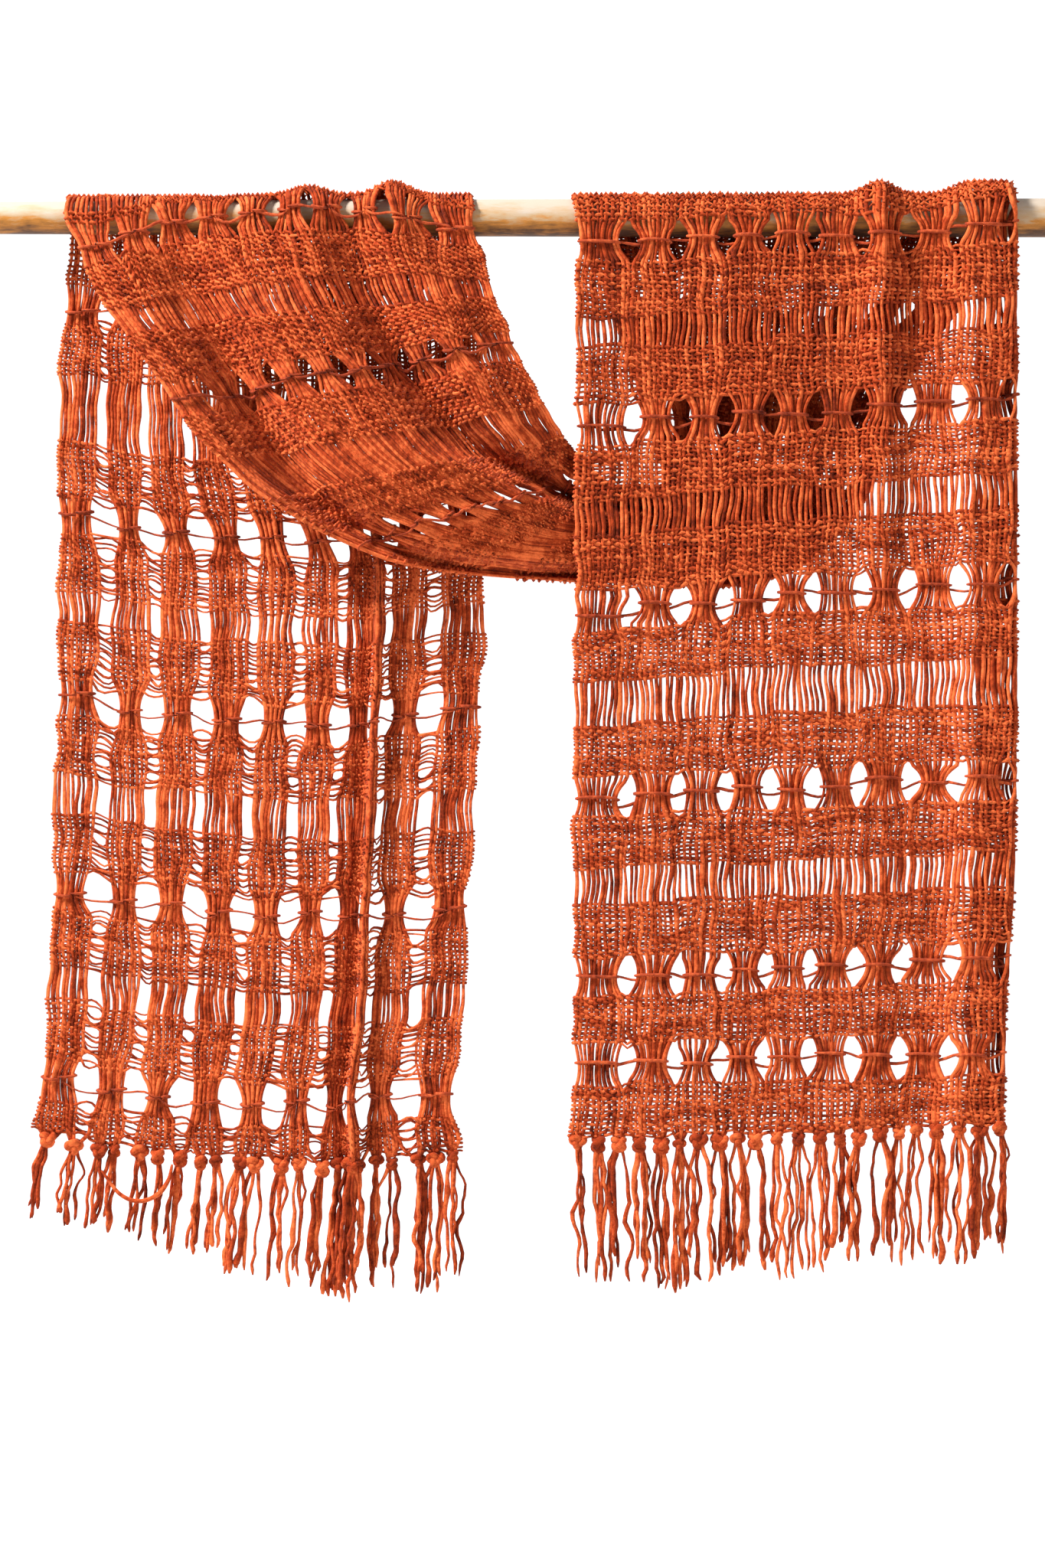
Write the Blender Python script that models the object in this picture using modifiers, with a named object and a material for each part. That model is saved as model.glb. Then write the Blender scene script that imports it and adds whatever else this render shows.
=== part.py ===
"""Open-weave scarf wound over a horizontal wooden rod, with knotted fringe at both ends.

Metres. The rod lies along X with its axis at the origin, the scarf hangs down along -Z, and -Y is the front.
On the cloth, s runs across it from its inner edge and v runs along it from the top of the rod.
"""

import math
from collections import namedtuple

import bmesh
import bpy
from mathutils import Vector

CLOTH_WIDTH = 0.325
CLOTH_WALL = 0.0024
SEAM_GAP = 0.0003
# At the top of the rod the walls lean apart by a little, so their middle surfaces part by more.
HALF_PARTING = 0.0003
ROD_CLEARANCE = 0.0007

ROD_HALF_LENGTH = 0.390
ROD_BEVEL = 0.0015
ROD_SIDES = 32

# Length of cloth on a quarter turn of the rod, from its top to the height of its axis.
QUARTER_TURN = 0.023
EYELET_HALF_WIDTH = 0.0072
EYELET_HALF_LENGTH = 0.0140
LADDER_HALF_WIDTH = 0.0050

TURN_RADIUS = 0.004
FOLDED_BACK = 0.033

FRINGE_STRANDS = 38
STRIP_HEIGHT = 0.004
STRIP_THICKNESS = 0.0034

RodRing = namedtuple("RodRing", "x radius")
ROD_RINGS = (
    RodRing(-ROD_HALF_LENGTH, 0.0108),
    RodRing(-0.300, 0.0112),
    RodRing(-0.120, 0.0124),
    RodRing(0.010, 0.0127),
    RodRing(0.180, 0.0129),
    RodRing(ROD_HALF_LENGTH, 0.0133),
)

# Where the bundles of warp part, as distances from the cloth's inner edge.
BUNDLE_EDGES = (0.0, 0.037, 0.071, 0.102, 0.132, 0.161, 0.192, 0.225, 0.258, 0.290, CLOTH_WIDTH)

# The two edges of a hanging end: x of each at a depth below the rod's axis.
Edge = namedtuple("Edge", "depth inner outer")
REAR_EDGES = (
    Edge(-0.020, -0.0340, -0.3070),
    Edge(0.000, -0.0330, -0.3069),
    Edge(0.114, -0.0282, -0.3162),
    Edge(0.243, -0.0231, -0.3183),
    Edge(0.325, -0.0262, -0.3183),
    Edge(0.429, -0.0324, -0.3214),
    Edge(0.539, -0.0380, -0.3250),
    Edge(0.590, -0.0440, -0.3307),
    Edge(0.640, -0.0396, -0.3375),
)
FRONT_EDGES = (
    Edge(-0.020, 0.0350, 0.3310),
    Edge(0.000, 0.0350, 0.3310),
    Edge(0.143, 0.0360, 0.3310),
    Edge(0.371, 0.0340, 0.3306),
    Edge(0.449, 0.0345, 0.3292),
    Edge(0.526, 0.0345, 0.3240),
    Edge(0.640, 0.0315, 0.3214),
)

# A tied row of eyelets, or a line of openings between bundles: its v at the inner edge, the middle
# and the outer edge.
Row = namedtuple("Row", "inner middle outer")
REAR_TIES = (
    Row(0.081, 0.085, 0.081),
    Row(0.225, 0.240, 0.219),
    Row(0.355, 0.364, 0.345),
    Row(0.490, 0.495, 0.476),
    Row(0.614, 0.623, 0.604),
)
REAR_HEM = Row(0.655, 0.663, 0.643)
REAR_LADDERS = (
    Row(0.153, 0.160, 0.150),
    Row(0.291, 0.303, 0.283),
    Row(0.423, 0.431, 0.412),
    Row(0.552, 0.559, 0.540),
)
FRONT_TIES = (
    Row(0.041, 0.036, 0.029),
    Row(0.165, 0.155, 0.146),
    Row(0.292, 0.277, 0.270),
    Row(0.415, 0.407, 0.402),
    Row(0.537, 0.530, 0.523),
    Row(0.594, 0.590, 0.586),
)
FRONT_HEM = Row(0.646, 0.642, 0.633)
SWAG_TIES = (
    Row(0.036, 0.022, 0.044),
    Row(0.122, 0.142, 0.150),
    Row(0.314, 0.274, 0.256),
    Row(0.405, 0.392, 0.386),
    Row(0.498, 0.502, 0.506),
    Row(0.604, 0.606, 0.608),
)

# The swag between the two quarter turns: its edges, how far each lies behind the rod's axis, the half depth
# of its folds, and the share of the way from the inner edge to the outer where its two valleys run.
Station = namedtuple("Station", "v outer_x outer_z outer_y inner_x inner_z inner_y fold valley_1 valley_2")
SWAG = (
    Station(0.023, -0.3069, 0.0000, -0.0130, -0.0329, 0.0000, -0.0146, 0.0000, 0.32, 0.74),
    Station(0.037, -0.3038, -0.0135, -0.0145, -0.0298, -0.0135, -0.0155, 0.0025, 0.32, 0.74),
    Station(0.078, -0.2841, -0.0559, -0.0185, -0.0205, -0.0492, -0.0180, 0.0090, 0.32, 0.76),
    Station(0.123, -0.2541, -0.0974, -0.0210, -0.0065, -0.0860, -0.0190, 0.0140, 0.32, 0.78),
    Station(0.175, -0.2147, -0.1528, -0.0220, 0.0091, -0.1181, -0.0180, 0.0170, 0.30, 0.81),
    Station(0.219, -0.1686, -0.1948, -0.0210, 0.0220, -0.1409, -0.0130, 0.0180, 0.28, 0.86),
    Station(0.270, -0.0925, -0.2315, -0.0170, 0.0339, -0.1575, -0.0010, 0.0160, 0.22, 0.93),
    Station(0.324, -0.0168, -0.2424, -0.0030, 0.0583, -0.1790, 0.0080, 0.0140, 0.20, 0.95),
    Station(0.372, 0.0609, -0.2455, 0.0110, 0.0774, -0.1800, 0.0140, 0.0130, 0.22, 0.92),
    Station(0.433, 0.1645, -0.2455, 0.0150, 0.0961, -0.1770, 0.0160, 0.0150, 0.25, 0.85),
    Station(0.483, 0.2266, -0.1999, 0.0170, 0.0868, -0.1430, 0.0165, 0.0150, 0.28, 0.80),
    Station(0.563, 0.2681, -0.1119, 0.0170, 0.0635, -0.0704, 0.0160, 0.0100, 0.30, 0.78),
    Station(0.627, 0.3147, -0.0342, 0.0155, 0.0427, -0.0238, 0.0152, 0.0015, 0.30, 0.78),
    Station(0.656, 0.3310, 0.0000, 0.0151, 0.0350, 0.0000, 0.0147, 0.0000, 0.30, 0.78),
)
SWAG_LENGTH = 0.656 + QUARTER_TURN
VALLEY_HALF_WIDTH = 0.085

# Pleats that stand up over the rod: distance from the inner edge, height and half width.
Pleat = namedtuple("Pleat", "s height half_width")
LEFT_PLEATS = (Pleat(0.065, 0.0090, 0.017), Pleat(0.132, 0.0060, 0.017))
RIGHT_PLEATS = (Pleat(0.206, 0.0088, 0.0120),)
# The valley beside the right pleat, in the front fall below the rod.
RIGHT_VALLEY = (Pleat(0.227, 0.0048, 0.0110),)

# Strand lengths from the inner edge to the outer edge of each end.
REAR_STRAND_LENGTHS = (
    *(0.098, 0.096, 0.092, 0.084, 0.098, 0.088, 0.086),
    *(0.084, 0.066, 0.068, 0.062, 0.058, 0.062, 0.058),
)
FRONT_STRAND_LENGTHS = (
    *(0.094, 0.098, 0.097, 0.105, 0.098, 0.094, 0.099, 0.097),
    *(0.092, 0.091, 0.094, 0.096, 0.090, 0.093, 0.085),
)


def clamp(value):
    return min(1.0, max(0.0, value))


def ease(value):
    t = clamp(value)
    return t * t * (3 - 2 * t)


def mix(a, b, t):
    return a + (b - a) * t


def read(table, key, column, at):
    """A column of a table at a place between its rows, on a smooth curve through them."""
    keys = [getattr(row, key) for row in table]
    values = [getattr(row, column) for row in table]
    at = min(max(at, keys[0]), keys[-1])
    i = max(j for j in range(len(keys) - 1) if keys[j] <= at)
    step = keys[i + 1] - keys[i]
    t = (at - keys[i]) / step
    slopes = []
    for j in (i, i + 1):
        low = max(j - 1, 0)
        high = min(j + 1, len(keys) - 1)
        slopes.append((values[high] - values[low]) / (keys[high] - keys[low]))
    rise = values[i + 1] - values[i]
    a = slopes[0] * step - rise
    b = rise - slopes[1] * step
    return mix(values[i], values[i + 1], t) + t * (1 - t) * ((1 - t) * a + t * b)


def rod_radius(x):
    return read(ROD_RINGS, "x", "radius", x)


def row_at(row, s):
    """v of a row at s, on a parabola through its inner, middle and outer values."""
    t = s / CLOTH_WIDTH
    return row.inner * (1 - t) * (1 - 2 * t) + 4 * row.middle * t * (1 - t) + row.outer * t * (2 * t - 1)


def pleats(table, s):
    return sum(p.height * math.exp(-(((s - p.s) / p.half_width) ** 2)) for p in table)


def folded_section(s, inner, outer):
    """x and lift of the cloth whose outer 33 mm are folded under, towards the rod."""
    turn = math.pi * TURN_RADIUS
    flat = CLOTH_WIDTH - FOLDED_BACK
    top = 2 * TURN_RADIUS
    if s <= flat:
        return mix(inner, outer - TURN_RADIUS, s / flat), top * ease((s - flat + 0.050) / 0.026)
    if s <= flat + turn:
        angle = (s - flat) / TURN_RADIUS
        return outer - TURN_RADIUS * (1 - math.sin(angle)), TURN_RADIUS * (1 + math.cos(angle))
    return outer - TURN_RADIUS - (s - flat - turn), 0.0


def over_rod(x, lift, angle):
    """A point on the rod's round: angle 0 is at the front, a quarter turn is the top."""
    reach = rod_radius(x) + ROD_CLEARANCE + CLOTH_WALL / 2 + lift
    return Vector((x, -reach * math.cos(angle), reach * math.sin(angle)))


def behind_rod(x, lift, angle):
    """The same on the rod's back half: angle 0 is at the back."""
    point = over_rod(x, lift, angle)
    return Vector((point.x, -point.y, point.z))


def rear_point(s, v):
    depth = v - QUARTER_TURN
    inner = read(REAR_EDGES, "depth", "inner", depth)
    outer = read(REAR_EDGES, "depth", "outer", depth)
    ridge = ease((depth - 0.150) / 0.090)
    t = s / CLOTH_WIDTH
    squeeze = 0.018 * ridge * (math.tanh((s - 0.092) / 0.020) + 1 - 2 * t)
    x = mix(inner, outer, t) + squeeze
    lift = pleats(LEFT_PLEATS, s) * (1 - ease(depth / 0.070))
    if depth <= 0:
        return behind_rod(x, lift, math.pi / 2 * (1 - v / QUARTER_TURN))
    bulge = 0.0110 * math.exp(-(((s - 0.083) / 0.011) ** 2))
    bulge -= 0.0030 * math.exp(-(((s - 0.112) / 0.012) ** 2))
    wave = 0.0016 * ease(depth / 0.08) * math.sin(2 * math.pi * (s / 0.150 + depth / 0.9))
    return behind_rod(x, lift, 0) + Vector((0, wave - ridge * bulge, -depth))


def front_point(s, v):
    depth = v - QUARTER_TURN
    inner = read(FRONT_EDGES, "depth", "inner", depth)
    outer = read(FRONT_EDGES, "depth", "outer", depth)
    x, lift = folded_section(s, inner, outer)
    lift += pleats(RIGHT_PLEATS, s) * (1 - ease(depth / 0.330))
    lift -= pleats(RIGHT_VALLEY, s) * ease((depth - 0.012) / 0.040) * (1 - ease((depth - 0.100) / 0.250))
    if depth <= 0:
        return over_rod(x, lift, math.pi / 2 * (1 - v / QUARTER_TURN))
    calm = clamp((CLOTH_WIDTH - 0.060 - s) / 0.030)
    wave = 0.0016 * calm * ease(depth / 0.08) * math.sin(2 * math.pi * (s / 0.130 - depth / 0.8))
    return over_rod(x, lift, 0) + Vector((0, wave, -depth))


def swag_point(s, v):
    t = s / CLOTH_WIDTH
    if v <= QUARTER_TURN:
        x = mix(SWAG[0].inner_x, SWAG[0].outer_x, t)
        return over_rod(x, pleats(LEFT_PLEATS, s), math.pi / 2 * (1 - v / QUARTER_TURN))
    end = SWAG[-1]
    if v >= end.v:
        x, lift = folded_section(s, end.inner_x, end.outer_x)
        lift += pleats(RIGHT_PLEATS, s)
        return behind_rod(x, lift, math.pi / 2 * (v - end.v) / QUARTER_TURN)
    here = {name: read(SWAG, "v", name, v) for name in Station._fields[1:]}
    folding = ease((v - 0.470) / (end.v - 0.470))
    x_folded, lift_folded = folded_section(s, end.inner_x, end.outer_x)
    share = mix(t, (x_folded - end.inner_x) / (end.outer_x - end.inner_x), folding)
    x = mix(here["inner_x"], here["outer_x"], share)
    y = mix(here["inner_y"], here["outer_y"], share)
    z = mix(here["inner_z"], here["outer_z"], share)
    dip = sum(math.exp(-(((t - here[name]) / VALLEY_HALF_WIDTH) ** 2)) for name in ("valley_1", "valley_2"))
    wave = (1.1 - 2 * dip) * here["fold"] * mix(0.3, 1, ease(t / 0.2))
    leaving = 1 - ease((v - QUARTER_TURN) / 0.050)
    settle = 1 - ease((v - QUARTER_TURN) / 0.030)
    y = mix(y, over_rod(x, 0, 0).y, settle) - pleats(LEFT_PLEATS, s) * leaving - wave
    arriving = ease((v - end.v + 0.040) / 0.040)
    y = mix(y, -over_rod(x, 0, 0).y, arriving)
    y += lift_folded * folding + pleats(RIGHT_PLEATS, s) * ease((v - end.v + 0.120) / 0.120)
    return Vector((x, y, z))


def opening_levels(row, half_width, open_steps, reach):
    """Levels through one line of openings: a closed level, some open ones and a closed level."""
    count = open_steps + 1
    levels = []
    for i in range(count + 1):
        move = mix(-reach, reach, i / count)
        width = 0.0 if i in (0, count) else half_width
        levels.append((Row(row.inner + move, row.middle + move, row.outer + move), width))
    return levels


def fill(levels, spacing):
    """Closed levels between those given, no further apart than the spacing."""
    filled = [levels[0]]
    for row, width in levels[1:]:
        last, last_width = filled[-1]
        if width == 0 and last_width == 0:
            count = max(1, math.ceil((row.middle - last.middle) / spacing))
            for i in range(1, count):
                filled.append((Row(*(mix(a, b, i / count) for a, b in zip(last, row))), 0.0))
        filled.append((row, width))
    return filled


def cloth_levels(start, ties, ladders, end, spacing):
    levels = [(Row(start, start, start), 0.0)]
    for tie in ties:
        steps = 3 if tie.middle < 0.060 else 2
        levels += opening_levels(tie, EYELET_HALF_WIDTH, steps, EYELET_HALF_LENGTH)
    for ladder in ladders:
        levels += opening_levels(ladder, LADDER_HALF_WIDTH, 1, 0.014)
    levels.append((end, 0.0))
    levels.sort(key=lambda level: level[0].middle)
    return fill(levels, spacing)


def cloth_mesh(name, place, levels, columns):
    """The cloth's middle surface: a grid of levels and bundles that part at every opening."""
    bm = bmesh.new()
    grid = []
    for row, width in levels:
        bundles = []
        for b in range(len(BUNDLE_EDGES) - 1):
            low = BUNDLE_EDGES[b] + (width if b > 0 else 0.0)
            high = BUNDLE_EDGES[b + 1] - (width if b < len(BUNDLE_EDGES) - 2 else 0.0)
            verts = []
            for share in columns[b]:
                s = mix(low, high, share)
                if share == 0 and b > 0 and width == 0:
                    verts.append(bundles[-1][-1])
                else:
                    verts.append(bm.verts.new(place(s, row_at(row, s))))
            bundles.append(verts)
        grid.append(bundles)
    for upper, lower in zip(grid, grid[1:]):
        for above, below in zip(upper, lower):
            for i in range(len(above) - 1):
                bm.faces.new((above[i], above[i + 1], below[i + 1], below[i]))
    bmesh.ops.recalc_face_normals(bm, faces=bm.faces)
    mesh = bpy.data.meshes.new(name)
    bm.to_mesh(mesh)
    bm.free()
    return mesh


def material(name, colour, roughness):
    made = bpy.data.materials.new(name)
    made.use_nodes = True
    shader = made.node_tree.nodes["Principled BSDF"]
    shader.inputs["Base Color"].default_value = (*colour, 1.0)
    shader.inputs["Roughness"].default_value = roughness
    made.diffuse_color = (*colour, 1.0)
    return made


def add_object(name, mesh, collection, colour, roughness=0.9):
    obj = bpy.data.objects.new(name, mesh)
    collection.objects.link(obj)
    mesh.materials.append(material(name + "_material", colour, roughness))
    mesh.shade_smooth()
    return obj


def add_cloth(name, place, levels, columns, collection, colour):
    obj = add_object(name, cloth_mesh(name, place, levels, columns), collection, colour)
    wall = obj.modifiers.new("wall", "SOLIDIFY")
    wall.thickness = CLOTH_WALL
    wall.offset = 0.0
    wall.use_even_offset = True
    return obj


def strand_length(lengths, t):
    at = t * (len(lengths) - 1)
    i = min(int(at), len(lengths) - 2)
    return mix(lengths[i], lengths[i + 1], at - i)


def add_fringe(name, place, hem, lengths, lean, collection, colour):
    """A narrow strip along the hem, with a strand drawn down from every second face under it.

    lean is how far a strand leans sideways for its length, at the inner edge and at the outer edge.
    """
    cells = 2 * FRINGE_STRANDS + 1
    bm = bmesh.new()
    rings = []
    for i in range(cells + 1):
        s = mix(0.0004, CLOTH_WIDTH - 0.0004, i / cells)
        top = place(s, row_at(hem, s))
        ahead = place(min(s + 0.0005, CLOTH_WIDTH), row_at(hem, s))
        behind = place(max(s - 0.0005, 0), row_at(hem, s))
        along = (ahead - behind).normalized()
        across = Vector((-along.y, along.x, 0)).normalized() * STRIP_THICKNESS / 2
        high = top - Vector((0, 0, SEAM_GAP))
        low = high - Vector((0, 0, STRIP_HEIGHT))
        rings.append([bm.verts.new(p) for p in (high - across, high + across, low + across, low - across)])
    for left, right in zip(rings, rings[1:]):
        for j in range(4):
            bm.faces.new((left[j], left[(j + 1) % 4], right[(j + 1) % 4], right[j]))
    bm.faces.new(rings[0][::-1])
    bm.faces.new(rings[-1])
    bmesh.ops.recalc_face_normals(bm, faces=bm.faces)
    bm.verts.ensure_lookup_table()
    for k in range(FRINGE_STRANDS):
        i = 2 * k + 1
        corners = {rings[i][2], rings[i][3], rings[i + 1][2], rings[i + 1][3]}
        face = next(f for f in rings[i][2].link_faces if set(f.verts) == corners)
        t = (i + 0.5) / cells
        length = strand_length(lengths, t) * (1 - 0.06 * (k % 3)) - STRIP_HEIGHT
        for step, share in enumerate((0.30, 0.62, 1.0)):
            before = (0.0, 0.30, 0.62)[step]
            face = bmesh.ops.extrude_discrete_faces(bm, faces=[face])["faces"][0]
            swing = 0.0016 * math.sin(2.4 * k + 2.1 * step) + mix(*lean, t) * length * (share - before)
            move = Vector((swing, 0.0005 * math.sin(1.7 * k + 1.3 * step), -length * (share - before)))
            middle = face.calc_center_median()
            for vert in face.verts:
                vert.co = middle + (vert.co - middle) * 0.86 + move
                if step == 0:
                    vert.co.z = middle.z + move.z
    mesh = bpy.data.meshes.new(name)
    bm.to_mesh(mesh)
    bm.free()
    return add_object(name, mesh, collection, colour)


def add_rod(collection):
    """A turned profile along X: sawn ends with a small bevel and a slight taper."""
    first = ROD_RINGS[0]
    last = ROD_RINGS[-1]
    profile = [(first.x, 0.0), (first.x, first.radius - ROD_BEVEL), (first.x + ROD_BEVEL, first.radius)]
    profile += [(ring.x, ring.radius) for ring in ROD_RINGS[1:-1]]
    profile += [(last.x - ROD_BEVEL, last.radius), (last.x, last.radius - ROD_BEVEL), (last.x, 0.0)]
    mesh = bpy.data.meshes.new("rod")
    verts = [(x, 0.0, radius) for x, radius in profile]
    mesh.from_pydata(verts, [(i, i + 1) for i in range(len(verts) - 1)], [])
    rod = add_object("rod", mesh, collection, (0.62, 0.42, 0.20), 0.6)
    turn = rod.modifiers.new("turned", "SCREW")
    turn.axis = "X"
    turn.angle = math.tau
    turn.steps = ROD_SIDES
    turn.render_steps = ROD_SIDES
    turn.use_merge_vertices = True
    turn.merge_threshold = 0.00001
    turn.use_normal_calculate = True
    return rod


def main():
    for obj in list(bpy.data.objects):
        bpy.data.objects.remove(obj, do_unlink=True)
    scarf = bpy.data.collections.new("scarf_on_rod")
    bpy.context.scene.collection.children.link(scarf)

    orange = (0.55, 0.13, 0.035)
    half = HALF_PARTING
    plain = [(0.0, 0.5, 1.0)] * 10
    turned = plain[:9] + [(0.0, 0.12, 0.26, 0.42, 1.0)]

    add_rod(scarf)
    rear = cloth_levels(half, REAR_TIES, REAR_LADDERS, REAR_HEM, 0.045)
    arc = [(Row(v, v, v), 0.0) for v in (0.0020, 0.0072, 0.0125, 0.0178, QUARTER_TURN, 0.030, 0.045)]
    rear = [rear[0]] + arc + [level for level in rear if level[0].middle > 0.060]
    add_cloth("rear_fall", rear_point, rear, plain, scarf, orange)

    front = cloth_levels(half, FRONT_TIES, (), FRONT_HEM, 0.050)
    arc = [Row(0.0020, 0.0020, 0.0020), Row(0.0085, 0.0075, 0.0055), Row(0.0170, 0.0145, 0.0105)]
    below = [level for level in front if level[0].middle > 0.021]
    front = [front[0]] + [(row, 0.0) for row in arc] + below
    add_cloth("front_fall", front_point, front, turned, scarf, orange)

    end = SWAG_LENGTH - half
    swag = cloth_levels(half, SWAG_TIES, (), Row(end, end, end), 0.042)
    arc = [(Row(0.0022, 0.0014, 0.0022), 0.0)]
    arc += [(Row(*(mix(0.0022, v, i / 4) for v in (0.022, 0.008, 0.030))), 0.0) for i in (1, 2, 3)]
    to_end = (0.030, QUARTER_TURN, 0.0178, 0.0125, 0.0072, 0.0020)
    rise = [(Row(end - v, end - v, end - v), 0.0) for v in to_end]
    swag = [swag[0]] + arc + [x for x in swag if 0.0075 < x[0].middle < end - 0.035] + rise + [swag[-1]]
    add_cloth("swag", swag_point, swag, turned, scarf, orange)

    lengths = REAR_STRAND_LENGTHS
    add_fringe("rear_fringe", rear_point, REAR_HEM, lengths, (-0.02, -0.14), scarf, orange)
    lengths = FRONT_STRAND_LENGTHS
    add_fringe("front_fringe", front_point, FRONT_HEM, lengths, (0.03, -0.03), scarf, orange)


main()
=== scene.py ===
"""Open-weave scarf on a wooden rod, with every yarn of the cloth as its own tube.

Metres. The rod lies along X with its axis at the origin, the scarf hangs down along -Z, and -Y is the front.
On the cloth, s runs across it from its inner edge and v runs along it from the top of the rod.
"""

import math
from collections import namedtuple

import bpy
import numpy as np
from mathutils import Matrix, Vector


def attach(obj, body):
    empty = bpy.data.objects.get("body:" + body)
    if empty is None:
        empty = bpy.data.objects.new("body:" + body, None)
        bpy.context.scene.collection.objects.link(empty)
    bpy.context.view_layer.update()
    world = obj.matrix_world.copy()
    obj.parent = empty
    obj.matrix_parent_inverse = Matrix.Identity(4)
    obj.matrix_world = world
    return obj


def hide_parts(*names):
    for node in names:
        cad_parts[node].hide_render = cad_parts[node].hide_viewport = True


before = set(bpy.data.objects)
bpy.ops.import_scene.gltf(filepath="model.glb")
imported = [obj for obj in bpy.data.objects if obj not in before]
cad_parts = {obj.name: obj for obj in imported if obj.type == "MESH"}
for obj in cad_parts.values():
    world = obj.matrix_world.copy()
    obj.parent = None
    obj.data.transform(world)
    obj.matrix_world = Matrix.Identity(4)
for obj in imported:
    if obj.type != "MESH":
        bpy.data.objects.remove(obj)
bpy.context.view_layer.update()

bl_info = {
    "name": "Open-weave scarf",
    "version": (1, 0, 0),
    "blender": (4, 5, 0),
    "location": "3D View > Sidebar > Scarf",
    "description": "Builds an open-weave scarf on a wooden rod from its yarns",
    "category": "Object",
}

CLOTH_WIDTH = 0.325
ROD_HALF_LENGTH = 0.390
ROD_BEVEL = 0.0015
# How far the cloth's middle surface lies off the rod.
CLOTH_LIFT = 0.0023
QUARTER_TURN = 0.023
TURN_RADIUS = 0.004
FOLDED_BACK = 0.033
# Turns points on the front of the rod to its back.
BEHIND = np.array((1, -1, 1))
TINY = 1e-12

RodRing = namedtuple("RodRing", "x radius")
ROD_RINGS = (
    RodRing(-ROD_HALF_LENGTH, 0.0108),
    RodRing(-0.300, 0.0112),
    RodRing(-0.120, 0.0124),
    RodRing(0.010, 0.0127),
    RodRing(0.180, 0.0129),
    RodRing(ROD_HALF_LENGTH, 0.0133),
)

# Where the bundles of warp part, as distances from the cloth's inner edge.
BUNDLE_EDGES = (0.0, 0.037, 0.071, 0.102, 0.132, 0.161, 0.192, 0.225, 0.258, 0.290, CLOTH_WIDTH)

# Where the first and last bundles draw in to: share of their width from the cloth's edge.
EDGE_WAIST = 0.30
# How far along the cloth a warp's points lie closer together at a tie.
NEAR_TIE = 0.014
# How far the warps of a tied bundle lie before and behind the cloth's middle surface, in turn.
BUNDLE_LIFT = 0.0007
WARPS_A_KNOT = 4

# The two edges of a hanging end: x of each at a depth below the rod's axis.
Edge = namedtuple("Edge", "depth inner outer")
REAR_EDGES = (
    Edge(-0.020, -0.0340, -0.3070),
    Edge(0.000, -0.0330, -0.3069),
    Edge(0.114, -0.0282, -0.3162),
    Edge(0.243, -0.0231, -0.3183),
    Edge(0.325, -0.0262, -0.3183),
    Edge(0.429, -0.0324, -0.3214),
    Edge(0.539, -0.0380, -0.3250),
    Edge(0.590, -0.0440, -0.3307),
    Edge(0.640, -0.0396, -0.3375),
)
FRONT_EDGES = (
    Edge(-0.020, 0.0350, 0.3310),
    Edge(0.000, 0.0350, 0.3310),
    Edge(0.143, 0.0360, 0.3310),
    Edge(0.371, 0.0340, 0.3306),
    Edge(0.449, 0.0345, 0.3292),
    Edge(0.526, 0.0345, 0.3240),
    Edge(0.640, 0.0315, 0.3214),
)

# A row across the cloth: its v at the inner edge, middle and outer edge.
Row = namedtuple("Row", "inner middle outer")
REAR_TIES = (
    Row(0.081, 0.085, 0.081),
    Row(0.225, 0.240, 0.219),
    Row(0.355, 0.364, 0.345),
    Row(0.490, 0.495, 0.476),
    Row(0.614, 0.623, 0.604),
)
REAR_HEM = Row(0.655, 0.663, 0.643)
FRONT_TIES = (
    Row(0.041, 0.036, 0.029),
    Row(0.165, 0.155, 0.146),
    Row(0.292, 0.277, 0.270),
    Row(0.415, 0.407, 0.402),
    Row(0.537, 0.530, 0.523),
    Row(0.594, 0.590, 0.586),
)
FRONT_HEM = Row(0.646, 0.642, 0.633)
SWAG_TIES = (
    Row(0.036, 0.021, 0.050),
    Row(0.122, 0.142, 0.150),
    Row(0.314, 0.274, 0.256),
    Row(0.405, 0.392, 0.386),
    Row(0.498, 0.502, 0.506),
    Row(0.604, 0.606, 0.608),
)

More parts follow.
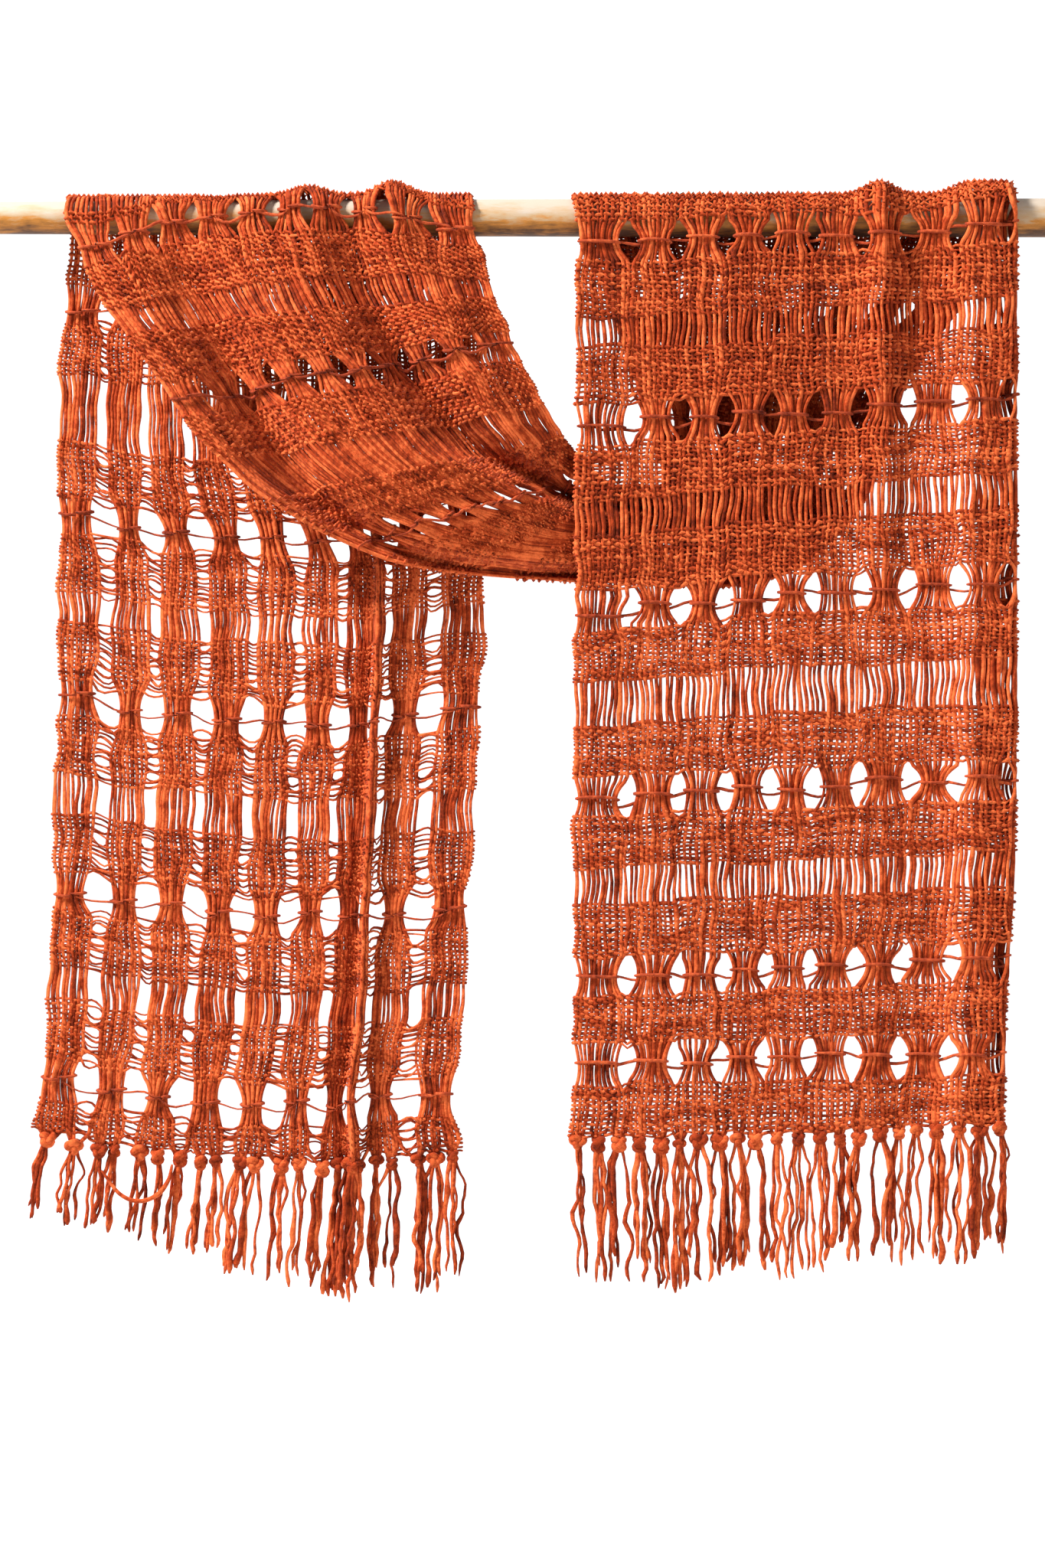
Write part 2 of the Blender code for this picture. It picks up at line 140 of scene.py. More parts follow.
# The swag between the two quarter turns: its edges, how far each lies behind the rod's axis, the half depth
# of its folds, and the share of the way from the inner edge to the outer where its two valleys run.
Station = namedtuple("Station", "v outer_x outer_z outer_y inner_x inner_z inner_y fold valley_1 valley_2")
SWAG = (
    Station(0.023, -0.3069, 0.0000, -0.0130, -0.0329, 0.0000, -0.0146, 0.0000, 0.32, 0.74),
    Station(0.037, -0.3038, -0.0135, -0.0145, -0.0298, -0.0135, -0.0155, 0.0025, 0.32, 0.74),
    Station(0.078, -0.2841, -0.0559, -0.0185, -0.0205, -0.0492, -0.0180, 0.0090, 0.32, 0.76),
    Station(0.123, -0.2541, -0.0974, -0.0210, -0.0065, -0.0860, -0.0190, 0.0140, 0.32, 0.78),
    Station(0.175, -0.2147, -0.1528, -0.0220, 0.0091, -0.1181, -0.0180, 0.0170, 0.30, 0.81),
    Station(0.219, -0.1686, -0.1948, -0.0210, 0.0220, -0.1409, -0.0130, 0.0180, 0.28, 0.86),
    Station(0.270, -0.0925, -0.2315, -0.0170, 0.0339, -0.1575, -0.0010, 0.0160, 0.22, 0.93),
    Station(0.324, -0.0168, -0.2424, -0.0030, 0.0583, -0.1790, 0.0080, 0.0140, 0.20, 0.95),
    Station(0.372, 0.0609, -0.2455, 0.0110, 0.0774, -0.1800, 0.0140, 0.0130, 0.22, 0.92),
    Station(0.433, 0.1645, -0.2455, 0.0150, 0.0961, -0.1770, 0.0160, 0.0150, 0.25, 0.85),
    Station(0.483, 0.2266, -0.1999, 0.0170, 0.0868, -0.1430, 0.0165, 0.0150, 0.28, 0.80),
    Station(0.563, 0.2681, -0.1119, 0.0170, 0.0635, -0.0704, 0.0160, 0.0100, 0.30, 0.78),
    Station(0.627, 0.3147, -0.0342, 0.0155, 0.0427, -0.0238, 0.0152, 0.0015, 0.30, 0.78),
    Station(0.656, 0.3310, 0.0000, 0.0151, 0.0350, 0.0000, 0.0147, 0.0000, 0.30, 0.78),
)
SWAG_LENGTH = 0.656 + QUARTER_TURN
# Half width of a valley, as a share of the cloth's width, and v where the outer edge starts to fold under.
VALLEY_HALF_WIDTH = 0.085
FOLDING_START = 0.470

# Pleats that stand up over the rod: distance from the inner edge, height and half width.
Pleat = namedtuple("Pleat", "s height half_width")
LEFT_PLEATS = (Pleat(0.065, 0.0090, 0.017), Pleat(0.132, 0.0060, 0.017))
RIGHT_PLEATS = (Pleat(0.206, 0.0088, 0.0120),)
# The valley beside the right pleat, in the front fall below the rod.
RIGHT_VALLEY = (Pleat(0.227, 0.0048, 0.0110),)
# The ridge down the rear fall with the dip beside it, and how far it draws the cloth in.
REAR_RIDGE = (Pleat(0.083, 0.0110, 0.011), Pleat(0.112, -0.0030, 0.012))
RIDGE_MIDDLE = 0.092
RIDGE_SQUEEZE = 0.018

# Soft waves of the hanging ends: height, and length of one wave across and down.
Wave = namedtuple("Wave", "height across down")
REAR_WAVE = Wave(0.0016, 0.150, 0.9)
FRONT_WAVE = Wave(0.0016, 0.130, -0.8)

# Strand lengths from the inner edge to the outer edge of each end.
REAR_STRAND_LENGTHS = (
    *(0.098, 0.096, 0.092, 0.084, 0.098, 0.088, 0.086),
    *(0.084, 0.066, 0.068, 0.062, 0.058, 0.062, 0.058),
)
FRONT_STRAND_LENGTHS = (
    *(0.094, 0.098, 0.097, 0.105, 0.098, 0.094, 0.099, 0.097),
    *(0.092, 0.091, 0.094, 0.096, 0.090, 0.093, 0.085),
)

# How far a strand leans sideways for its length, at the inner edge and at the outer edge.
REAR_LEAN = (-0.02, -0.14)
FRONT_LEAN = (0.03, -0.03)

# A strand of the rear fringe that is caught up in a hook, from its knot to its free end.
Bend = namedtuple("Bend", "at x y z")
HOOKED_STRAND = (
    Bend(0.00, -0.2385, 0.0135, -0.6420),
    Bend(0.16, -0.2403, 0.0095, -0.6515),
    Bend(0.35, -0.2475, 0.0072, -0.6615),
    Bend(0.57, -0.2603, 0.0066, -0.6661),
    Bend(0.79, -0.2735, 0.0068, -0.6610),
    Bend(1.00, -0.2857, 0.0072, -0.6454),
)


# Shape of the cloth, on arrays of s and v


def between(value, start, end):
    """0 up to start, 1 from end on, and smooth on the way."""
    t = np.clip((value - start) / (end - start), 0.0, 1.0)
    return t * t * (3 - 2 * t)


def mix(a, b, t):
    return a + (b - a) * t


def unit(vectors):
    return vectors / (np.linalg.norm(vectors, axis=-1, keepdims=True) + TINY)


def read(table, key, column, at):
    """A column of a table at places between its rows, on a smooth curve through them."""
    keys = np.array([getattr(row, key) for row in table])
    values = np.array([getattr(row, column) for row in table])
    at = np.clip(at, keys[0], keys[-1])
    i = np.clip(np.searchsorted(keys, at, side="right") - 1, 0, len(keys) - 2)
    low = np.maximum(np.arange(len(keys)) - 1, 0)
    high = np.minimum(np.arange(len(keys)) + 1, len(keys) - 1)
    slopes = (values[high] - values[low]) / (keys[high] - keys[low])
    step = keys[i + 1] - keys[i]
    t = (at - keys[i]) / step
    rise = values[i + 1] - values[i]
    a = slopes[i] * step - rise
    b = rise - slopes[i + 1] * step
    return mix(values[i], values[i + 1], t) + t * (1 - t) * ((1 - t) * a + t * b)


def rod_radius(x):
    return read(ROD_RINGS, "x", "radius", x)


def row_at(row, s):
    """v of a row at s, on a parabola through its inner, middle and outer values."""
    t = s / CLOTH_WIDTH
    return row.inner * (1 - t) * (1 - 2 * t) + 4 * row.middle * t * (1 - t) + row.outer * t * (2 * t - 1)


def pleats(table, s):
    return sum(p.height * np.exp(-(((s - p.s) / p.half_width) ** 2)) for p in table)


def points(x, y, z):
    return np.stack(np.broadcast_arrays(x, y, z), axis=-1)


def folded_section(s, inner, outer):
    """x and lift of the cloth whose outer 33 mm are folded under, towards the rod."""
    turn = math.pi * TURN_RADIUS
    flat = CLOTH_WIDTH - FOLDED_BACK
    angle = np.clip((s - flat) / TURN_RADIUS, 0.0, math.pi)
    x_flat = mix(inner, outer - TURN_RADIUS, s / flat)
    x_turn = outer - TURN_RADIUS * (1 - np.sin(angle)) - np.maximum(s - flat - turn, 0.0)
    lift_flat = 2 * TURN_RADIUS * between(s, flat - 0.050, flat - 0.024)
    lift_turn = TURN_RADIUS * (1 + np.cos(angle))
    return np.where(s <= flat, x_flat, x_turn), np.where(s <= flat, lift_flat, lift_turn)


def turned(v):
    """Angle round the rod at v from its top, from 0 at its front to a quarter turn at its top."""
    return math.pi / 2 * np.clip(1 - v / QUARTER_TURN, 0.0, 1.0)


def over_rod(x, lift, angle):
    """Points on the rod's round."""
    reach = rod_radius(x) + CLOTH_LIFT + lift
    return points(x, -reach * np.cos(angle), reach * np.sin(angle))


def edges_at(table, depth):
    """x of a hanging end's inner and outer edges."""
    return (read(table, "depth", name, depth) for name in ("inner", "outer"))


def waves(wave, s, depth):
    """How far a hanging end stands out in soft waves, which start just below the rod."""
    swing = np.sin(math.tau * (s / wave.across + depth / wave.down))
    return wave.height * between(depth, 0.0, 0.08) * swing


def rear_points(s, v):
    depth = v - QUARTER_TURN
    inner, outer = edges_at(REAR_EDGES, depth)
    ridge = between(depth, 0.150, 0.240)
    t = s / CLOTH_WIDTH
    squeeze = RIDGE_SQUEEZE * ridge * (np.tanh((s - RIDGE_MIDDLE) / 0.020) + 1 - 2 * t)
    x = mix(inner, outer, t) + squeeze
    lift = pleats(LEFT_PLEATS, s) * (1 - between(depth, 0.0, 0.070))
    point = over_rod(x, lift, turned(v)) * BEHIND
    point[..., 1] += waves(REAR_WAVE, s, depth) - ridge * pleats(REAR_RIDGE, s)
    point[..., 2] -= np.maximum(depth, 0.0)
    return point


def front_points(s, v):
    depth = v - QUARTER_TURN
    inner, outer = edges_at(FRONT_EDGES, depth)
    x, lift = folded_section(s, inner, outer)
    lift = lift + pleats(RIGHT_PLEATS, s) * (1 - between(depth, 0.0, 0.330))
    valley = between(depth, 0.012, 0.052) * (1 - between(depth, 0.100, 0.350))
    lift = lift - pleats(RIGHT_VALLEY, s) * valley
    point = over_rod(x, lift, turned(v))
    # The folded edge hangs without waves.
    calm = np.clip((CLOTH_WIDTH - 0.060 - s) / 0.030, 0.0, 1.0)
    point[..., 1] += calm * waves(FRONT_WAVE, s, depth)
    point[..., 2] -= np.maximum(depth, 0.0)
    return point


def swag_middle(s, v):
    """The swag between its two quarter turns."""
    t = s / CLOTH_WIDTH
    end = SWAG[-1]
    here = Station(v, *(read(SWAG, "v", name, v) for name in Station._fields[1:]))
    folding = between(v, FOLDING_START, end.v)
    x_folded, lift_folded = folded_section(s, end.inner_x, end.outer_x)
    share = mix(t, (x_folded - end.inner_x) / (end.outer_x - end.inner_x), folding)
    x = mix(here.inner_x, here.outer_x, share)
    y = mix(here.inner_y, here.outer_y, share)
    z = mix(here.inner_z, here.outer_z, share)
    valleys = (here.valley_1, here.valley_2)
    dip = sum(np.exp(-(((t - valley) / VALLEY_HALF_WIDTH) ** 2)) for valley in valleys)
    # The folds are flatter at the inner edge.
    wave = (1.1 - 2 * dip) * here.fold * mix(0.3, 1, between(t, 0.0, 0.2))
    front = -(rod_radius(x) + CLOTH_LIFT)
    y = mix(front, y, between(v, QUARTER_TURN, QUARTER_TURN + 0.030))
    y = y - pleats(LEFT_PLEATS, s) * (1 - between(v, QUARTER_TURN, QUARTER_TURN + 0.050)) - wave
    y = mix(y, -front, between(v, end.v - 0.040, end.v))
    y = y + lift_folded * folding + pleats(RIGHT_PLEATS, s) * between(v, end.v - 0.120, end.v)
    return points(x, y, z)


def swag_points(s, v):
    start = SWAG[0]
    end = SWAG[-1]
    x_start = mix(start.inner_x, start.outer_x, s / CLOTH_WIDTH)
    x_end, lift_end = folded_section(s, end.inner_x, end.outer_x)
    lift_end = lift_end + pleats(RIGHT_PLEATS, s)
    first = over_rod(x_start, pleats(LEFT_PLEATS, s), turned(v))
    last = over_rod(x_end, lift_end, turned(SWAG_LENGTH - v)) * BEHIND
    point = np.where((v <= start.v)[..., None], first, swag_middle(s, v))
    return np.where((v >= end.v)[..., None], last, point)


# A stretch of the cloth. before and after are the ties just past its two ends, on its own v, and along is
# where its v starts on the whole cloth and which way it runs. A yarn's unevenness is read along the whole
# cloth, so it is the same on both sides of a parting.
Stretch = namedtuple("Stretch", "name place end ties before after hem along")


def shifted(row, distance):
    return Row(*(value + distance for value in row))


def flipped(row):
    return Row(*(-value for value in row))


TOP = Row(0.0, 0.0, 0.0)
SWAG_END = shifted(TOP, SWAG_LENGTH)
BEFORE_REAR = flipped(SWAG_TIES[0])
BEFORE_SWAG = flipped(REAR_TIES[0])
AFTER_SWAG = shifted(FRONT_TIES[0], SWAG_LENGTH)
BEFORE_FRONT = shifted(SWAG_TIES[-1], -SWAG_LENGTH)
REAR = Stretch("rear", rear_points, REAR_HEM, REAR_TIES, BEFORE_REAR, None, True, (0.0, -1))
MIDDLE = Stretch("swag", swag_points, SWAG_END, SWAG_TIES, BEFORE_SWAG, AFTER_SWAG, False, (0.0, 1))
FRONT = Stretch("front", front_points, FRONT_HEM, FRONT_TIES, BEFORE_FRONT, None, True, (SWAG_LENGTH, 1))
STRETCHES = (REAR, MIDDLE, FRONT)


def all_ties(stretch):
    return [row for row in (stretch.before, *stretch.ties, stretch.after) if row]


def along_cloth(stretch, v):
    return stretch.along[0] + stretch.along[1] * v


def smooth_noise(yarns, at, spacing, seed):
    """One smooth uneven line for each yarn, from -1 to 1, read at places along the cloth."""
    lowest = -0.80
    reach = 2.4
    count = int(reach / spacing)
    values = np.random.default_rng(seed).uniform(-1, 1, (yarns, count))
    place = (at - lowest) / spacing
    i = np.clip(place.astype(int), 0, count - 2)
    rows = np.arange(yarns)[:, None]
    return mix(values[rows, i], values[rows, i + 1], between(place - i, 0.0, 1.0))


def drift(s, along, phase):
    """How the whole weave strays from straight, from about -1 to 1."""
    # Waves a metre across and along the cloth, and where each wave starts.
    ripples = ((9, 14, 0.3), (-17, 21, 1.9), (26, 9, 4.1), (-7, -33, 2.6))
    return sum(np.sin(math.tau * (p * s + q * along) + r + phase) for p, q, r in ripples) / 2.6


class Cloth:
    """Where every warp lies on a stretch of the cloth."""

    def __init__(self, stretch, sizes):
        self.stretch = stretch
        self.sizes = sizes
        rest = []
        bundle = []
        for b, (low, high) in enumerate(zip(BUNDLE_EDGES, BUNDLE_EDGES[1:])):
            count = round((high - low) / sizes.warp_spacing)
            rest += [mix(low, high, (i + 0.5) / count) for i in range(count)]
            bundle += [b] * count
        self.rest = np.array(rest)
        self.bundle = np.array(bundle)
        low = np.array(BUNDLE_EDGES[:-1])
        high = np.array(BUNDLE_EDGES[1:])
        self.waist = (low + high) / 2
        self.waist[0] = mix(low[0], high[0], EDGE_WAIST)
        self.waist[-1] = mix(high[-1], low[-1], EDGE_WAIST)
        self.reach = sizes.rear_reach if stretch is REAR else sizes.reach
        self.ties = [self.tie(row) for row in all_ties(stretch)]

    def tie(self, row):
        """v of a tied row on each bundle, how far it pulls either way, and how hard: all a little uneven."""
        stretch = self.stretch
        along = along_cloth(stretch, row.middle)
        rng = np.random.default_rng(20000 + round(10000 * along))
        bundles = len(self.waist)
        way = stretch.along[1]
        place = row_at(row, self.waist) + way * self.sizes.tie_stray * rng.uniform(-1, 1, bundles)
        lower, higher = self.reach * rng.uniform(0.72, 1.18, (2, bundles))[::way]
        hard = rng.uniform(0.72, 1.12, bundles)
        hard[[0, -1]] *= 0.6
        # Where the cloth lies on the rod its bundles are drawn in less.
        if min(abs(along), abs(along - SWAG_LENGTH)) < 0.050:
            hard *= 0.92
            lower *= 0.85
            higher *= 0.85
        return place, lower, higher, hard

    def pull(self, v):
        """How far each warp is drawn in, from 0 to about 1, at v for each warp."""
        amount = np.zeros(v.shape)
        for tie in self.ties:
            place, lower, higher, hard = (value[self.bundle][:, None] for value in tie)
            away = v - place
            away = away / np.where(away < 0, lower, higher)
            amount = np.maximum(amount, hard * np.maximum(1 - away**2, 0))
        return amount

    def points_along(self, count):
        """v of each warp's points, closer together near its ties."""
        fine = np.linspace(0, 1, 1200)
        end = row_at(self.stretch.end, self.rest)
        places = np.array([tie[0] for tie in self.ties])
        rows = []
        for i, b in enumerate(self.bundle):
            at = end[i] * fine
            near = np.exp(-(((at[:, None] - places[:, b]) / NEAR_TIE) ** 2)).sum(axis=1)
            grown = np.cumsum(1 + 2 * near)
            rows.append(np.interp(np.linspace(grown[0], grown[-1], count), grown, at))
        return np.array(rows)

    def across(self, v):
        """s of each warp at v, which holds one row for each warp."""
        sizes = self.sizes
        along = along_cloth(self.stretch, v)
        centre = self.waist[self.bundle][:, None]
        rest = self.rest[:, None]
        pull = self.pull(v)
        narrow = np.ones(v.shape)
        if self.stretch is REAR:
            narrow -= sizes.ladder * between(v, 0.060, 0.220)
        narrow *= 1 - sizes.waist * pull
        wander = smooth_noise(len(rest), along, spacing=0.022, seed=3) + 1.5 * drift(rest, along, 0.0)
        return centre + (rest - centre) * narrow + sizes.wander * wander * (1 - 0.6 * pull)

    def knots(self):
        """Group of each warp at the hem, and where across the cloth each group's knot lies."""
        groups = len(self.rest) // WARPS_A_KNOT
        group = np.minimum(np.arange(len(self.rest)) // WARPS_A_KNOT, groups - 1)
        v = row_at(self.stretch.end, self.rest)[:, None]
        s = self.across(v)[:, 0]
        return group, np.array([s[group == g].mean() for g in range(groups)])

    def to_space(self, s, v, height):
        """Points at a height off the cloth, and the cloth's own directions there: along it and out of it."""
        step = 0.0004
        place = self.stretch.place
        across = place(s + step, v) - place(s - step, v)
        forward = place(s, v + step) - place(s, v - step)
        out = np.cross(across, forward)
        out /= np.linalg.norm(out, axis=-1, keepdims=True)
        return place(s, v) + out * height[..., None], unit(forward), out


# Yarns as tubes


def tubes(name, paths, side, radius, sides, tint, material):
    """One object of many tubes. paths is (yarns, points, 3), side a direction that no path runs along,
    radius (yarns, points) and tint (yarns,)."""
    ahead = unit(np.gradient(paths, axis=1))
    first = unit(np.cross(ahead, side))
    second = np.cross(first, ahead)
    yarns, count, _ = paths.shape
    angle = np.arange(sides) * math.tau / sides
    ring = first[:, :, None] * np.cos(angle)[:, None] + second[:, :, None] * np.sin(angle)[:, None]
    verts = paths[:, :, None] + ring * radius[:, :, None, None]
    index = np.arange(yarns * count * sides).reshape(yarns, count, sides)
    following = np.roll(index, -1, axis=2)
    quads = np.stack((index[:, :-1], index[:, 1:], following[:, 1:], following[:, :-1]), axis=-1)
    caps = np.concatenate((index[:, 0], index[:, -1, ::-1]))
    mesh = bpy.data.meshes.new(name)
    mesh.from_pydata(verts.reshape(-1, 3).tolist(), [], quads.reshape(-1, 4).tolist() + caps.tolist())

    # The UV map runs once round each yarn, and in metres along it.
    length = np.cumsum(np.linalg.norm(np.diff(paths, axis=1, prepend=paths[:, :1]), axis=-1), axis=1)
    length = np.broadcast_to(length[:, :, None], index.shape)
    turn = np.broadcast_to(np.arange(sides) / sides, index.shape)
    low, high = slice(None, -1), slice(1, None)
    corners = ((low, 0), (high, 0), (high, 1 / sides), (low, 1 / sides))
    uv = [np.stack((turn[:, ends] + more, length[:, ends]), axis=-1) for ends, more in corners]
    uv = np.concatenate((np.stack(uv, axis=3).reshape(-1, 2), np.zeros((caps.size, 2))))
    layer = mesh.uv_layers.new(name="yarn")
    layer.data.foreach_set("uv", uv.astype(np.float32).ravel())
    shade = mesh.attributes.new("tint", "FLOAT", "POINT")
    shade.data.foreach_set("value", np.repeat(tint, count * sides).astype(np.float32))
    mesh.shade_smooth()
    mesh.materials.append(material)
    obj = bpy.data.objects.new(name, mesh)
    bpy.context.scene.collection.objects.link(obj)
    return obj


def join(name, pieces):
    """Several tube objects as one."""
    with bpy.context.temp_override(active_object=pieces[0], selected_editable_objects=pieces):
        bpy.ops.object.join()
    pieces[0].name = name


def slubs(yarns, along, strength, seed):
    """Thick and thin places of hand-spun yarn, about 1."""
    fine = smooth_noise(yarns, along, spacing=0.011, seed=seed)
    coarse = smooth_noise(yarns, along, spacing=0.034, seed=seed + 1)
    return 1 + strength * (0.45 * fine + 0.55 * coarse + 1.3 * np.maximum(coarse - 0.55, 0) * (1 + fine))


def add_warp(stretch, sizes, material):
    cloth = Cloth(stretch, sizes)
    yarns = len(cloth.rest)
    v = cloth.points_along(sizes.warp_points)
    s = cloth.across(v)
    if stretch.hem:
        group, place = cloth.knots()
        to_hem = row_at(stretch.end, cloth.rest)[:, None] - v
        s = mix(s, place[group][:, None], 0.6 * (1 - between(to_hem, 0.0, 0.008)))
    along = along_cloth(stretch, v)
    parity = np.where(np.arange(yarns) % 2, 1.0, -1.0)[:, None]
    height = 0.0003 * smooth_noise(yarns, along, spacing=0.020, seed=11)
    height = height + parity * BUNDLE_LIFT * cloth.pull(v)
    path, _, out = cloth.to_space(s, v, height)
    radius = sizes.warp_diameter / 2 * slubs(yarns, along, sizes.slub, seed=21)
    tint = np.random.default_rng(5).uniform(0, 1, yarns)
    tubes(stretch.name + "_warp", path, out, radius, 5, tint, material)


def weft_rows(stretch, sizes):
    """The rows of weft: a band each side of every tie, with open warps between the bands."""
    ties = all_ties(stretch)
    rows = []

    def band(a, b, low, high):
        """Rows at distances from low to high past a, bent as a and b are."""
        gap = b.middle - a.middle
        count = round((high - low) / sizes.weft_spacing) + 1
        for i in range(count):
            t = mix(low, high, i / (count - 1)) / gap
            row = Row(*(mix(p, q, t) for p, q in zip(a, b)))
            if 0.0008 < row.middle < stretch.end.middle - 0.0008:
                rows.append(row)

    near, far = (0.0125, 0.052) if stretch is REAR else (0.0140, 0.049)
    for a, b in zip(ties, ties[1:]):
        gap = b.middle - a.middle
        if gap < 0.080:
            band(a, b, 0.014, gap - 0.014)
        else:
            band(a, b, near, far)
            band(a, b, gap - far, gap - near)
    if stretch.hem:
        band(ties[-1], stretch.end, 0.016, stretch.end.middle - ties[-1].middle - 0.003)
    return rows


def add_weft(stretch, sizes, material):
    cloth = Cloth(stretch, sizes)
    rows = weft_rows(stretch, sizes)
    yarns = len(rows)
    warps = len(cloth.rest)
    bundles = len(cloth.waist)
    level = mix(cloth.waist[cloth.bundle], cloth.rest, 0.35)
    v = np.stack([row_at(row, level) for row in rows], axis=1)
    shift = smooth_noise(bundles, along_cloth(stretch, v[:bundles]), spacing=0.050, seed=43)
    v = v + sizes.weft_shift * shift[cloth.bundle]
    s = cloth.across(v)
    along = along_cloth(stretch, v)
    over = np.where((np.arange(warps)[:, None] + np.arange(yarns)) % 2, 1.0, -1.0)
    height = over * (sizes.warp_diameter / 2 * 0.75 + sizes.weft_diameter / 2)
    v = v + 0.0008 * smooth_noise(warps, along, spacing=0.004, seed=31) + 0.0016 * drift(s, along, 2.0)

    # One column of points for each warp, and some more for the slack spans between bundles.
    edge = sizes.warp_diameter * 0.7
    spans = (0.25, 0.5, 0.75) if stretch is REAR else (0.5,)
    columns = [(s[0] - edge, v[0], np.zeros(yarns))]
    thin = []
    for j in range(warps):
        columns.append((s[j], v[j], height[j]))
        if j + 1 == warps or cloth.bundle[j] == cloth.bundle[j + 1]:
            continue
        slack, lift, lean = smooth_noise(3, np.stack([along[j]] * 3), spacing=0.0034, seed=41 + j)
        sag = (s[j + 1] - s[j]) * (0.06 + 0.34 * slack)
        for t in spans:
            droop = sag * 4 * t * (1 - t) * (1 + lean * (2 * t - 1))
            s_here, v_here, height_here = (mix(value[j], value[j + 1], t) for value in (s, v, height))
            thin.append(len(columns))
            columns.append((s_here, v_here + droop, height_here + 0.0008 * lift))
    columns.append((s[-1] + edge, v[-1], np.zeros(yarns)))
    s, v, height = (np.stack(column, axis=1) for column in zip(*columns))
    path, _, out = cloth.to_space(s, np.maximum(v, 0.0002), height)
    uneven = smooth_noise(yarns, s, spacing=0.016, seed=51)
    radius = sizes.weft_diameter / 2 * (1 + 0.9 * sizes.slub * uneven)
    if stretch is REAR:
        radius *= 0.84
    radius[:, thin] *= 0.85
    tint = np.random.default_rng(6).uniform(0.2, 1, yarns)
    tubes(stretch.name + "_weft", path, out, radius, 4, tint, material)


def add_ties(stretch, sizes, material):
    """One thread for each tie: a turn round every bundle, and a slack span to the next bundle."""
    cloth = Cloth(stretch, sizes)
    steps = 13
    span = 0.62 if stretch is REAR else 0.92
    angle = math.pi * 0.5 + np.linspace(0, math.tau, steps)
    t = np.array((0.15, 0.3, 0.45, 0.6, 0.75, 0.88))
    rng = np.random.default_rng(8)
    thick = sizes.tie_diameter / 2
    deep = BUNDLE_LIFT + sizes.warp_diameter * 0.62 + thick
    threads = []
    for tie in stretch.ties:
        at = cloth.tie(tie)[0]
        s = cloth.across(at[cloth.bundle][:, None])[:, 0]
        turns = []
        for b in range(len(cloth.waist)):
            inside = s[cloth.bundle == b]
            middle = (inside.min() + inside.max()) / 2
            wide = (inside.max() - inside.min()) / 2 + sizes.warp_diameter * 0.5 + thick
            bow = rng.uniform(-0.0004, 0.0016) * np.sin(angle)
            along = at[b] + np.linspace(-0.0009, 0.0009, steps) + bow
            turns.append((middle + wide * np.cos(angle), along, deep * np.sin(angle), np.ones(steps)))
        thread = [turns[0]]
        for last, following in zip(turns, turns[1:]):
            sag, sway = rng.uniform((-0.0020, -0.0026), (0.0056, 0.0026))
            slack = sag * 4 * t * (1 - t) + sway * np.sin(math.tau * t)
            s_span, v_span = (mix(last[k][-1], following[k][0], t) for k in (0, 1))
            h_span = following[2][0] * (1 - 0.5 * np.sin(math.pi * t))
            thread += [(s_span, v_span + slack, h_span, np.full(len(t), span)), following]
        threads.append(np.concatenate(thread, axis=1))
    s, v, height, slim = np.stack(threads, axis=1)
    path, forward, _ = cloth.to_space(s, v, height)
    radius = thick * slim * (1 + 0.25 * smooth_noise(len(threads), s, spacing=0.010, seed=61))
    tint = np.random.default_rng(9).uniform(0, 0.5, len(threads))
    tubes(stretch.name + "_ties", path, forward, radius, 5, tint, material)


def knot_curve(count):
    """An overhand knot about the Z axis, about 1 in radius."""
    t = np.linspace(0, math.tau, count)
    x = (np.sin(t) + 2 * np.sin(2 * t)) / 3
    y = -np.sin(3 * t) * 0.495
    z = (np.cos(t) - 2 * np.cos(2 * t)) / 3
    return x, y, z


